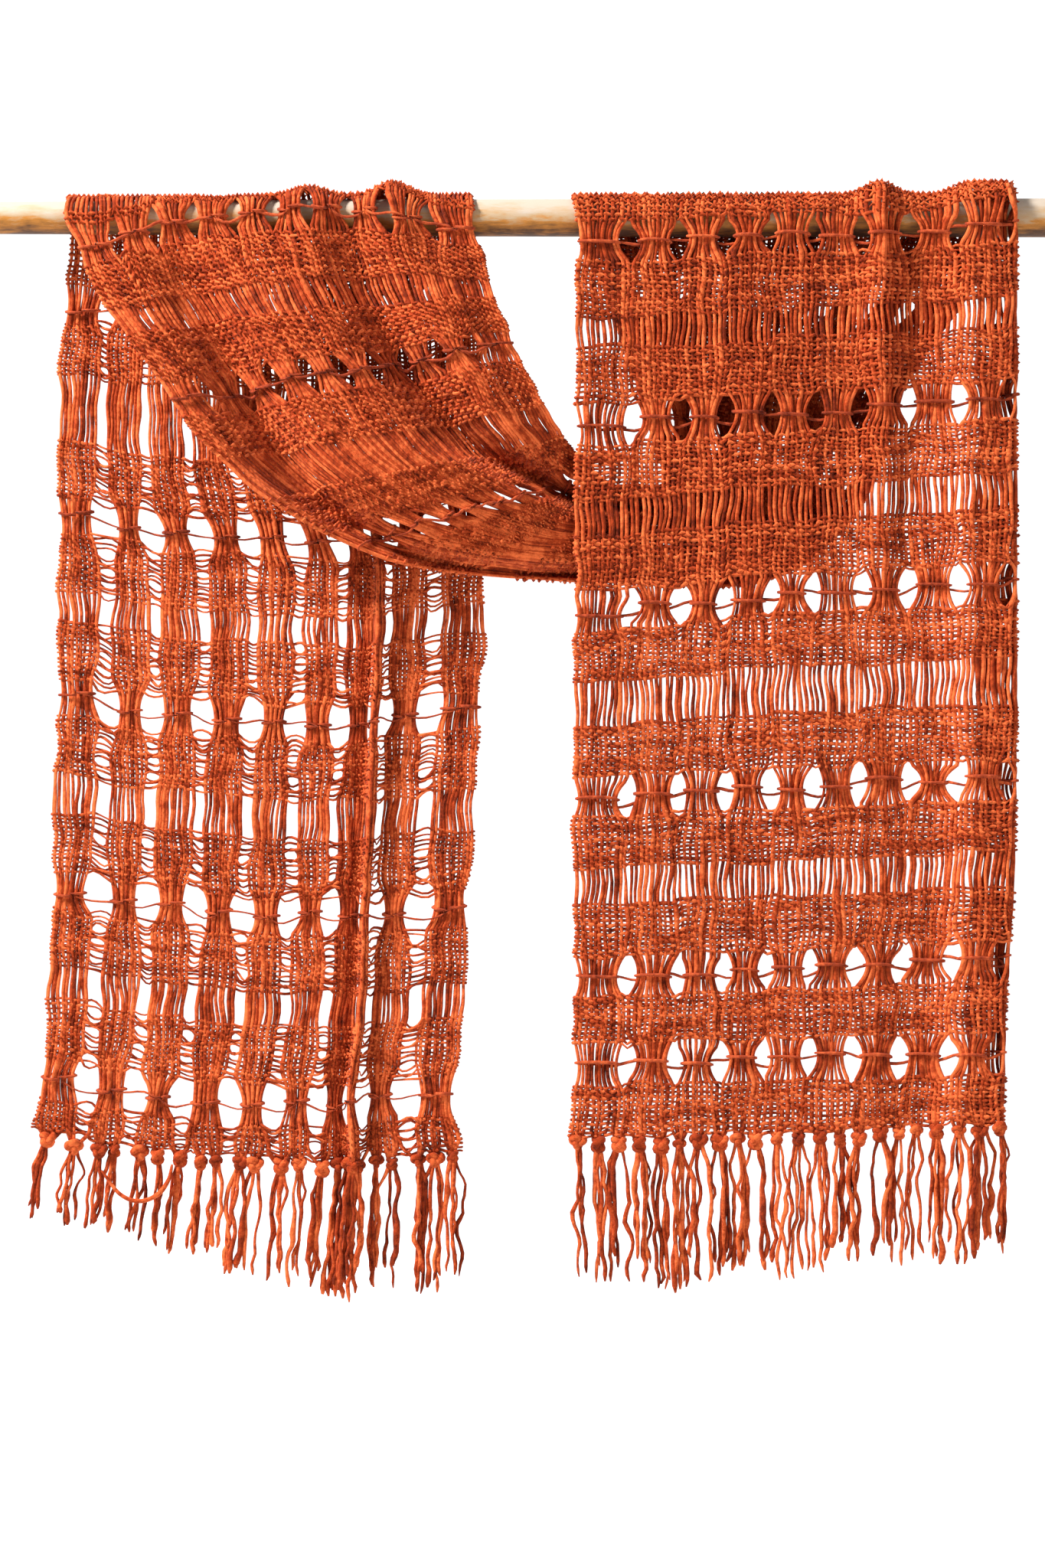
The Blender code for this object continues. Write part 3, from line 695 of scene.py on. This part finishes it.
def add_fringe(stretch, sizes, lengths, lean, strays, material):
    """Knots under the hem, each of four warps, and the free ends below them."""
    cloth = Cloth(stretch, sizes)
    place = cloth.knots()[1]
    groups = len(place)
    rng = np.random.default_rng(70 + len(lengths))
    base = stretch.place(place, row_at(stretch.end, place))
    drop = rng.uniform(0.0004, 0.0042, groups)
    centre = base - np.array((0, 0, 1)) * drop[:, None]

    steps = 40
    x, y, z = knot_curve(steps)
    size = rng.uniform(0.0031, 0.0047, groups)[:, None]
    spin = rng.uniform(0, math.tau, groups)[:, None]
    turned_knot = points(x * np.cos(spin) - y * np.sin(spin), x * np.sin(spin) + y * np.cos(spin), z)
    paths = centre[:, None] + turned_knot * size[:, None] * np.array((1.1, 0.85, 0.95))
    side = np.array((0.31, 0.83, 0.47))
    lumps = smooth_noise(groups, np.linspace(0, 0.2, steps)[None, :], spacing=0.02, seed=75)
    thick = size * 0.55 * (1 + 0.15 * lumps)
    knots = tubes("knots", paths, side, thick, 7, rng.uniform(0.1, 0.9, groups), material)

    owner = np.repeat(np.arange(groups), rng.choice((3, 4, 4, 5), groups))
    strands = len(owner)
    share = np.linspace(0, 1, 22)[None, :]
    t = place[owner] / CLOTH_WIDTH
    table = np.interp(t, np.linspace(0, 1, len(lengths)), lengths)
    length = (table - drop[owner]) * rng.uniform(0.78, 1.0, strands)
    below = length[:, None] * share
    free = between(below, 0.0, 0.020)
    spread = rng.uniform(-0.0068, 0.0068, strands)[:, None]
    sway = smooth_noise(strands, below, spacing=0.017, seed=76)
    sway = sway + 0.6 * smooth_noise(strands, below, spacing=0.007, seed=77)
    lateral = spread * (0.3 + 0.7 * free) + mix(*lean, t)[:, None] * below + 0.0020 * sway * free
    depth = rng.uniform(-0.0024, 0.0024, strands)[:, None]
    depth = (depth + 0.0012 * smooth_noise(strands, below, spacing=0.015, seed=78)) * free
    start = centre[owner]
    paths = points(start[:, :1] + lateral, start[:, 1:2] + depth, start[:, 2:] - below)
    radius = sizes.warp_diameter / 2 * 0.96 * slubs(strands, below, sizes.slub * 1.3, seed=81)
    radius = radius * (1 - 0.6 * between(share, 0.95, 1.0))
    tint = rng.uniform(0, 1, strands)
    ends = tubes("strands", paths, np.array((0.0, 1.0, 0.0)), radius, 6, tint, material)
    pieces = [knots, ends]
    at = np.linspace(0, 1, 34)
    for bends in strays:
        path = points(*(read(bends, "at", name, at) for name in "xyz"))[None]
        swell = 0.5 + 0.9 * np.sin(math.pi * at[None]) ** 0.7
        radius = sizes.warp_diameter / 2 * swell * slubs(1, at[None] * 0.08, sizes.slub, seed=83)
        pieces.append(tubes("stray", path, np.array((0.1, 1.0, 0.1)), radius, 6, np.array([0.6]), material))
    join(stretch.name + "_fringe_yarns", pieces)


# Materials


def node(tree, kind, **settings):
    made = tree.nodes.new(kind)
    for name, value in settings.items():
        if name in made.inputs:
            made.inputs[name].default_value = value
        else:
            setattr(made, name, value)
    return made


def noise(tree, vector, scale, detail, roughness):
    made = node(tree, "ShaderNodeTexNoise", Scale=scale, Detail=detail, Roughness=roughness)
    tree.links.new(vector, made.inputs["Vector"])
    return made.outputs["Fac"]


def combine(tree, operation, *values):
    """A Math node on numbers and other nodes' outputs."""
    made = node(tree, "ShaderNodeMath", operation=operation)
    for socket, value in zip(made.inputs, values):
        if isinstance(value, float):
            socket.default_value = value
        else:
            tree.links.new(value, socket)
    return made.outputs[0]


def ramp(tree, source, stops):
    made = tree.nodes.new("ShaderNodeValToRGB")
    tree.links.new(source, made.inputs["Fac"])
    elements = made.color_ramp.elements
    for i, (at, colour) in enumerate(stops):
        element = elements[i] if i < 2 else elements.new(at)
        element.position = at
        element.color = (*colour, 1.0)
    return made.outputs["Color"]


def bump(tree, relief, strength, distance):
    made = node(tree, "ShaderNodeBump", Strength=strength, Distance=distance)
    tree.links.new(relief, made.inputs["Height"])
    return made.outputs["Normal"]


def new_material(name, roughness):
    """A material, its node tree and the inputs of its shader."""
    made = bpy.data.materials.new(name)
    made.use_nodes = True
    shader = made.node_tree.nodes["Principled BSDF"].inputs
    shader["Roughness"].default_value = roughness
    return made, made.node_tree, shader


def yarn_material(name, sizes, middle, roughness):
    """Dyed slubby cotton: each yarn its own shade, mottled dye, a twist and loose fibres as bump."""
    made, tree, shader = new_material(name, roughness)
    shader["Sheen Weight"].default_value = 0.03
    shader["Sheen Roughness"].default_value = 0.6
    shader["Specular IOR Level"].default_value = 0.08

    place = node(tree, "ShaderNodeTexCoord").outputs["Object"]
    tint = node(tree, "ShaderNodeAttribute", attribute_name="tint").outputs["Fac"]
    dye = noise(tree, place, scale=110.0, detail=4.0, roughness=0.7)
    fibre = noise(tree, place, scale=900.0, detail=4.0, roughness=0.7)
    shade = combine(tree, "MULTIPLY_ADD", tint, 0.28, combine(tree, "MULTIPLY", dye, 0.75))
    shade = combine(tree, "MULTIPLY_ADD", fibre, 0.30, shade)
    stops = ((0.42, sizes.yarn_dark), (0.64, middle), (0.84, sizes.yarn_light))
    tree.links.new(ramp(tree, shade, stops), shader["Base Color"])

    around = node(tree, "ShaderNodeUVMap", uv_map="yarn")
    along = node(tree, "ShaderNodeMapping", Scale=(1.0, 420.0, 1.0))
    tree.links.new(around.outputs["UV"], along.inputs["Vector"])
    twist = node(tree, "ShaderNodeTexWave", Scale=0.32, Distortion=2.0, Detail=2.0, wave_type="BANDS")
    twist.bands_direction = "DIAGONAL"
    tree.links.new(along.outputs["Vector"], twist.inputs["Vector"])
    relief = combine(tree, "ADD", twist.outputs["Fac"], fibre)
    tree.links.new(bump(tree, relief, 0.6, 0.0004), shader["Normal"])
    return made


def wood_material(colours):
    """A peeled branch, golden brown with bark streaks along the grain. Its colour also holds painted light
    by height: a painted highlight along the top and painted shade on the lower side.
    """
    made, tree, shader = new_material("rod_wood", 0.62)
    place = node(tree, "ShaderNodeTexCoord").outputs["Object"]
    along = node(tree, "ShaderNodeMapping", Scale=(55.0, 260.0, 260.0))
    tree.links.new(place, along.inputs["Vector"])
    grain = noise(tree, along.outputs["Vector"], scale=1.0, detail=6.0, roughness=0.65)
    patch = noise(tree, place, scale=38.0, detail=3.0, roughness=0.6)
    split = node(tree, "ShaderNodeSeparateXYZ")
    tree.links.new(place, split.inputs["Vector"])
    # Painted light: the colour runs by height from dark underneath to light on top, a painted highlight
    # along the top and painted shade below.
    height = node(tree, "ShaderNodeMapRange", **{"From Min": -0.013, "From Max": 0.013, "To Max": 0.6})
    tree.links.new(split.outputs["Z"], height.inputs["Value"])
    shade = combine(tree, "MULTIPLY_ADD", grain, 0.56, height.outputs["Result"])
    shade = combine(tree, "MULTIPLY_ADD", patch, 0.24, shade)
    # The lightest stop is a painted highlight for the top of the rod; pale, golden and bark are the wood's
    # own colours.
    stops = ((0.42, colours.dark), (0.60, colours.brown), (0.69, colours.pale), (0.88, colours.painted_highlight))
    tree.links.new(ramp(tree, shade, stops), shader["Base Color"])
    tree.links.new(bump(tree, grain, 0.5, 0.0006), shader["Normal"])
    return made


def floor_material():
    made, _, shader = new_material("pale_floor", 0.9)
    shader["Base Color"].default_value = (0.82, 0.82, 0.82, 1.0)
    shader["Specular IOR Level"].default_value = 0.0
    return made


# Settings

COLOUR = {"size": 3, "min": 0.0, "max": 1.0, "subtype": "COLOR"}
THICKNESS = {"unit": "LENGTH", "precision": 5}


class ScarfSizes(bpy.types.PropertyGroup):
    """Sizes and colours of the yarns"""

    warp_spacing: bpy.props.FloatProperty(
        name="Warp spacing",
        description="Distance between neighbouring warps in a bundle",
        default=0.00345, min=0.002, max=0.008, **THICKNESS,
    )
    warp_diameter: bpy.props.FloatProperty(
        name="Warp diameter",
        description="Mean thickness of a warp yarn",
        default=0.0027, min=0.0008, max=0.005, **THICKNESS,
    )
    warp_points: bpy.props.IntProperty(
        name="Warp points",
        description="Points along each warp of one stretch",
        default=146, min=40, max=190,
    )
    weft_spacing: bpy.props.FloatProperty(
        name="Weft spacing",
        description="Distance between neighbouring wefts in a woven band",
        default=0.00275, min=0.0015, max=0.008, **THICKNESS,
    )
    weft_shift: bpy.props.FloatProperty(
        name="Weft shift",
        description="How far the wefts of a bundle lie up or down the cloth from their rows",
        default=0.0015, min=0.0, max=0.004, **THICKNESS,
    )
    weft_diameter: bpy.props.FloatProperty(
        name="Weft diameter",
        description="Mean thickness of a weft yarn",
        default=0.0022, min=0.0005, max=0.004, **THICKNESS,
    )
    tie_diameter: bpy.props.FloatProperty(
        name="Tie diameter",
        description="Thickness of the thread that ties the bundles",
        default=0.0022, min=0.0005, max=0.004, **THICKNESS,
    )
    slub: bpy.props.FloatProperty(
        name="Slub",
        description="How uneven the yarns' thickness is",
        default=0.38, min=0.0, max=0.6, subtype="FACTOR",
    )
    wander: bpy.props.FloatProperty(
        name="Wander",
        description="How far a warp strays sideways",
        default=0.0009, min=0.0, max=0.002, **THICKNESS,
    )
    tie_stray: bpy.props.FloatProperty(
        name="Tie unevenness",
        description="How far along the cloth a bundle's tie lies from its row",
        default=0.0026, min=0.0, max=0.006, **THICKNESS,
    )
    waist: bpy.props.FloatProperty(
        name="Waist",
        description="Share of its width that a bundle loses at a tie",
        default=0.46, min=0.0, max=0.7, subtype="FACTOR",
    )
    reach: bpy.props.FloatProperty(
        name="Eyelet reach",
        description="How far along the cloth from a tie a bundle is drawn in",
        default=0.0165, min=0.004, max=0.03, **THICKNESS,
    )
    rear_reach: bpy.props.FloatProperty(
        name="Eyelet reach, rear end",
        description="The same on the rear end, where the bundles hang apart",
        default=0.0205, min=0.004, max=0.03, **THICKNESS,
    )
    ladder: bpy.props.FloatProperty(
        name="Ladder gaps",
        description="Share of its width that a bundle of the rear end has lost between ties",
        default=0.22, min=0.0, max=0.5, subtype="FACTOR",
    )
    yarn_dark: bpy.props.FloatVectorProperty(
        name="Yarn, dark",
        description="Darkest dye of the yarn",
        default=(0.085, 0.008, 0.002), **COLOUR,
    )
    yarn_colour: bpy.props.FloatVectorProperty(
        name="Yarn",
        description="Main dye of the yarn",
        default=(0.390, 0.044, 0.008), **COLOUR,
    )
    yarn_light: bpy.props.FloatVectorProperty(
        name="Yarn, light",
        description="Palest dye of the yarn",
        default=(0.810, 0.158, 0.042), **COLOUR,
    )
    tie_colour: bpy.props.FloatVectorProperty(
        name="Tie thread",
        description="Colour of the thread that ties the bundles",
        default=(0.400, 0.056, 0.017), **COLOUR,
    )


class RodSettings(bpy.types.PropertyGroup):
    """Colours and skin of the wooden rod"""

    # A painted highlight: the light colour laid along the top of the rod, where the light falls from above.
    painted_highlight: bpy.props.FloatVectorProperty(
        name="Highlighted wood",
        description="Wood along the top of the rod",
        default=(0.56, 0.46, 0.36), **COLOUR,
    )
    pale: bpy.props.FloatVectorProperty(
        name="Pale wood",
        description="Wood just above the golden side",
        default=(0.52, 0.34, 0.18), **COLOUR,
    )
    brown: bpy.props.FloatVectorProperty(
        name="Golden wood",
        description="Wood on the rod's lower side",
        default=(0.54, 0.205, 0.022), **COLOUR,
    )
    dark: bpy.props.FloatVectorProperty(
        name="Bark streaks",
        description="Bark left along the grain",
        default=(0.09, 0.034, 0.009), **COLOUR,
    )
    roughness: bpy.props.FloatProperty(
        name="Unevenness",
        description="How far the rod's skin strays from round",
        default=0.0002, min=0.0, max=0.001, **THICKNESS,
    )


class StageSettings(bpy.types.PropertyGroup):
    """Floor, lights and camera"""

    camera_distance: bpy.props.FloatProperty(
        name="Camera distance",
        description="Distance from the camera to the rod",
        default=2.4, min=1.0, max=10.0, unit="LENGTH",
    )
    view_height: bpy.props.FloatProperty(
        name="View height",
        description="Height of the picture at the rod",
        default=1.061, min=0.5, max=3.0, unit="LENGTH",
    )
    camera_drop: bpy.props.FloatProperty(
        name="Camera drop",
        description="How far the camera is below the rod's axis",
        default=0.383, min=0.0, max=2.0, unit="LENGTH",
    )
    floor_drop: bpy.props.FloatProperty(
        name="Floor drop",
        description="How far the floor is below the rod's axis",
        default=1.05, min=0.75, max=3.0, unit="LENGTH",
    )
    surroundings: bpy.props.FloatProperty(
        name="Surroundings",
        description="Strength of the even white light from all round",
        default=0.17, min=0.0, max=3.0,
    )
    key_light: bpy.props.FloatProperty(
        name="Key light",
        description="Power of the soft light high at the front left",
        default=225.0, min=0.0, max=500.0, unit="POWER",
    )


# Soft square lamps: place, target, power as a share of the key light's, and width.
Lamp = namedtuple("Lamp", "name place target share size")
LAMPS = (
    Lamp("key", (-2.2, -1.1, 1.9), (0.0, 0.0, -0.35), 1.0, 0.7),
    Lamp("fill", (1.8, -1.6, 0.2), (0.0, 0.0, -0.35), 0.10, 1.8),
    Lamp("backdrop", (0.0, 2.6, 3.0), (0.0, 6.0, -0.4), 0.90, 3.6),
)
# Longer side of the camera's sensor, in millimetres.
SENSOR = 36.0


# Operators


def show_as_cloth(stretch, solid, fringe=None):
    """Hides the solid of one stretch and attaches its warps, wefts, ties and fringe to the root body."""
    warp, weft, ties = (bpy.data.objects[stretch + "_" + piece] for piece in ("warp", "weft", "ties"))
    others = [weft, ties]
    if fringe:
        others.append(bpy.data.objects[fringe])
    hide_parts(solid)
    for piece in (warp, *others):
        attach(piece, "root")


def add_rod(settings, collection):
    """A round rod with an uneven skin and a small bevel at each end."""
    sides = 48
    rings = 160
    ripples = 9
    end_radius = 0.012
    x = np.linspace(-ROD_HALF_LENGTH + ROD_BEVEL, ROD_HALF_LENGTH - ROD_BEVEL, rings)
    angle = np.arange(sides) * math.tau / sides
    uneven = smooth_noise(ripples, np.broadcast_to(x - 0.2, (ripples, rings)), spacing=0.045, seed=91)
    skin = sum(uneven[k][:, None] * np.cos((k + 1) * angle + k) / (k + 1) for k in range(ripples))
    radius = rod_radius(x)[:, None] + settings.roughness * (0.6 * skin - 1)
    body = points(x[:, None], radius * np.cos(angle), radius * np.sin(angle))
    within = np.array((0, 1, 1)) * (1 - ROD_BEVEL / end_radius)
    faces = ((0, -ROD_HALF_LENGTH), (-1, ROD_HALF_LENGTH))
    ends = [body[ring] * within + np.array((at, 0, 0)) for ring, at in faces]
    verts = np.concatenate((ends[:1], body, ends[1:]))
    index = np.arange(verts.shape[0] * sides).reshape(-1, sides)
    following = np.roll(index, -1, axis=1)
    quads = np.stack((index[:-1], following[:-1], following[1:], index[1:]), axis=-1).reshape(-1, 4)
    caps = [index[0][::-1].tolist(), index[-1].tolist()]
    mesh = bpy.data.meshes.new("wooden_rod")
    mesh.from_pydata(verts.reshape(-1, 3).tolist(), [], quads.tolist() + caps)
    mesh.shade_smooth()
    mesh.set_sharp_from_angle(angle=math.radians(40))
    mesh.materials.append(wood_material(settings))
    rod = bpy.data.objects.new("wooden_rod", mesh)
    collection.objects.link(rod)
    return rod


def add_sweep(drop, collection):
    """A pale floor that curves up into a backdrop far behind the scarf."""
    in_front = 8.0
    behind = 4.8
    bend = 1.5
    top = 7.0
    half_width = 10.0
    steps = 24
    profile = [(-in_front, 0.0), (behind, 0.0)]
    for i in range(1, steps + 1):
        angle = math.pi / 2 * i / steps
        profile.append((behind + bend * math.sin(angle), bend * (1 - math.cos(angle))))
    profile.append((behind + bend, top))
    verts = [(x, y, z - drop) for y, z in profile for x in (-half_width, half_width)]
    faces = [(2 * i, 2 * i + 1, 2 * i + 3, 2 * i + 2) for i in range(len(profile) - 1)]
    mesh = bpy.data.meshes.new("floor")
    mesh.from_pydata(verts, [], faces)
    mesh.shade_smooth()
    mesh.materials.append(floor_material())
    floor = bpy.data.objects.new("floor", mesh)
    collection.objects.link(floor)
    return floor


def add_to_all(add, name, sizes, middle, roughness):
    """One kind of yarn on all three stretches."""
    material = yarn_material(name, sizes, middle, roughness)
    for stretch in STRETCHES:
        add(stretch, sizes, material)


class SCARF_OT_rod(bpy.types.Operator):
    """Build the wooden rod"""

    bl_idname = "scarf.rod"
    bl_label = "Rod"

    def execute(self, context):
        rod = add_rod(context.scene.scarf_rod, context.scene.collection)
        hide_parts("rod")
        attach(rod, "root")
        return {"FINISHED"}


class SCARF_OT_warp(bpy.types.Operator):
    """Build the lengthwise yarns of all three stretches"""

    bl_idname = "scarf.warp"
    bl_label = "Warp"

    def execute(self, context):
        sizes = context.scene.scarf_sizes
        add_to_all(add_warp, "warp_yarn", sizes, sizes.yarn_colour, 0.88)
        return {"FINISHED"}


class SCARF_OT_weft(bpy.types.Operator):
    """Build the crosswise yarns of all three stretches"""

    bl_idname = "scarf.weft"
    bl_label = "Weft"

    def execute(self, context):
        sizes = context.scene.scarf_sizes
        add_to_all(add_weft, "weft_yarn", sizes, sizes.yarn_colour, 0.85)
        return {"FINISHED"}


class SCARF_OT_ties(bpy.types.Operator):
    """Build the threads that tie the bundles of warp"""

    bl_idname = "scarf.ties"
    bl_label = "Tie threads"

    def execute(self, context):
        sizes = context.scene.scarf_sizes
        add_to_all(add_ties, "tie_thread", sizes, sizes.tie_colour, 0.8)
        return {"FINISHED"}


class SCARF_OT_fringe(bpy.types.Operator):
    """Build the knotted fringe of both ends"""

    bl_idname = "scarf.fringe"
    bl_label = "Fringe"

    def execute(self, context):
        sizes = context.scene.scarf_sizes
        material = yarn_material("fringe_yarn", sizes, sizes.yarn_colour, 0.88)
        add_fringe(REAR, sizes, REAR_STRAND_LENGTHS, REAR_LEAN, [HOOKED_STRAND], material)
        add_fringe(FRONT, sizes, FRONT_STRAND_LENGTHS, FRONT_LEAN, [], material)
        return {"FINISHED"}


class SCARF_OT_declare(bpy.types.Operator):
    """Hide the solids that the yarns stand for and attach the yarns to the root body"""

    bl_idname = "scarf.declare"
    bl_label = "Cloth sheets"

    def execute(self, context):
        show_as_cloth("rear", "rear_fall", "rear_fringe_yarns")
        show_as_cloth("swag", "swag")
        show_as_cloth("front", "front_fall", "front_fringe_yarns")
        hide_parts("rear_fringe")
        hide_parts("front_fringe")
        return {"FINISHED"}


class SCARF_OT_stage(bpy.types.Operator):
    """Build the floor, the lights and the camera"""

    bl_idname = "scarf.stage"
    bl_label = "Stage"

    def execute(self, context):
        scene = context.scene
        settings = scene.scarf_stage
        floor = add_sweep(settings.floor_drop, scene.collection)

        world = bpy.data.worlds.new("surroundings")
        world.use_nodes = True
        background = world.node_tree.nodes["Background"]
        background.inputs["Color"].default_value = (1.0, 1.0, 1.0, 1.0)
        background.inputs["Strength"].default_value = settings.surroundings
        scene.world = world

        for lamp in LAMPS:
            light = bpy.data.lights.new(lamp.name, "AREA")
            light.energy = settings.key_light * lamp.share
            light.size = lamp.size
            placed = bpy.data.objects.new(lamp.name, light)
            placed.location = lamp.place
            aim = Vector(lamp.target) - placed.location
            placed.rotation_euler = aim.to_track_quat("-Z", "Y").to_euler()
            scene.collection.objects.link(placed)

        camera_data = bpy.data.cameras.new("camera")
        camera_data.sensor_width = SENSOR
        camera_data.lens = SENSOR * settings.camera_distance / settings.view_height
        camera = bpy.data.objects.new("camera", camera_data)
        camera.location = (0.0, -settings.camera_distance, -settings.camera_drop)
        camera.rotation_euler = (math.pi / 2, 0.0, 0.0)
        scene.collection.objects.link(camera)
        scene.camera = camera
        scene.view_settings.view_transform = "Standard"
        return {"FINISHED"}


class SCARF_PT_panel(bpy.types.Panel):
    """The scarf's operators and settings"""

    bl_idname = "SCARF_PT_panel"
    bl_label = "Open-weave scarf"
    bl_space_type = "VIEW_3D"
    bl_region_type = "UI"
    bl_category = "Scarf"

    def draw(self, context):
        layout = self.layout
        scene = context.scene
        for operator in OPERATORS:
            layout.operator(operator.bl_idname)
        for group in (scene.scarf_sizes, scene.scarf_rod, scene.scarf_stage):
            box = layout.box()
            for name in group.__annotations__:
                box.prop(group, name)


GROUPS = {"scarf_sizes": ScarfSizes, "scarf_rod": RodSettings, "scarf_stage": StageSettings}
OPERATORS = (
    SCARF_OT_stage,
    SCARF_OT_rod,
    SCARF_OT_warp,
    SCARF_OT_weft,
    SCARF_OT_ties,
    SCARF_OT_fringe,
    SCARF_OT_declare,
)


def register():
    for group in GROUPS.values():
        bpy.utils.register_class(group)
    for name, group in GROUPS.items():
        setattr(bpy.types.Scene, name, bpy.props.PointerProperty(type=group))
    for operator in OPERATORS:
        bpy.utils.register_class(operator)
    bpy.utils.register_class(SCARF_PT_panel)


def unregister():
    bpy.utils.unregister_class(SCARF_PT_panel)
    for operator in reversed(OPERATORS):
        bpy.utils.unregister_class(operator)
    for name in GROUPS:
        delattr(bpy.types.Scene, name)
    for group in reversed(GROUPS.values()):
        bpy.utils.unregister_class(group)


def main():
    register()
    for operator in OPERATORS:
        group, name = operator.bl_idname.split(".")
        getattr(getattr(bpy.ops, group), name)()


if __name__ == "__main__":
    main()
